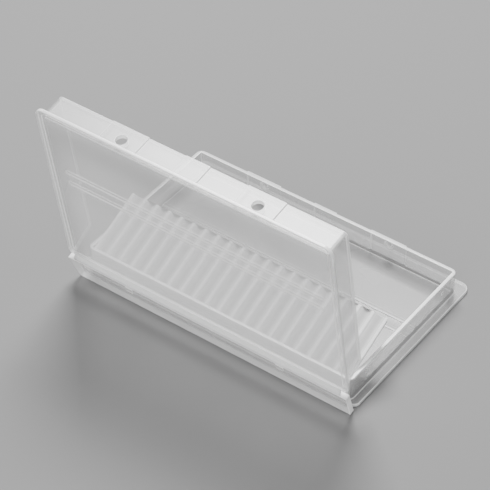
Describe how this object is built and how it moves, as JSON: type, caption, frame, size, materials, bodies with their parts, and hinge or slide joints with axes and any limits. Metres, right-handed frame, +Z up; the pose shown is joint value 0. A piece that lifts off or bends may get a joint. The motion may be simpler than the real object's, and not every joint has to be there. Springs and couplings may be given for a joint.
{
  "type": "queen cage case",
  "caption": "Flat clear plastic queen cage case, shown open: shallow base tray, living-hinge spine, hinged lid tray with snap holes, and a tilting fluted rack along the hinge side.",
  "frame": {"origin": "centre of the base tray's flat underside", "axes": "+Z up out of the base tray; +Y from the hinge side to the catch side; X along the hinge line"},
  "size_m": [0.1348, 0.103, 0.0968],
  "materials": {
    "clear_shell": "moulded translucent natural polypropylene, slightly hazy",
    "rack_plastic": "moulded translucent polypropylene, slightly whiter than the shell"
  },
  "bodies": {
    "base": {"base_tray": "clear_shell", "base_hinge_web": "clear_shell"},
    "spine": {"spine": "clear_shell", "lid_hinge_web": "clear_shell"},
    "lid": {"lid_tray": "clear_shell"},
    "rack": {"rack": "rack_plastic"}
  },
  "joints": [
    {"name": "base_hinge", "type": "hinge", "parent": "base", "child": "spine", "pos_m": [0, -0.0419, 0.0006], "axis": [-1, 0, 0], "range_deg": [0, 17.5]},
    {"name": "lid_hinge", "type": "hinge", "parent": "spine", "child": "lid", "pos_m": [0, -0.0472, 0.01308], "axis": [-1, 0, 0], "range_deg": [0, 82.2]},
    {"name": "rack_tilt", "type": "hinge", "parent": "base", "child": "rack", "pos_m": [0, -0.036, 0.0106], "axis": [-1, 0, 0], "range_deg": [0, 23.9]}
  ],
  "couplings": [
    {"joint": "rack_tilt", "follows": "lid_hinge", "ratio": 0.2907}
  ]
}
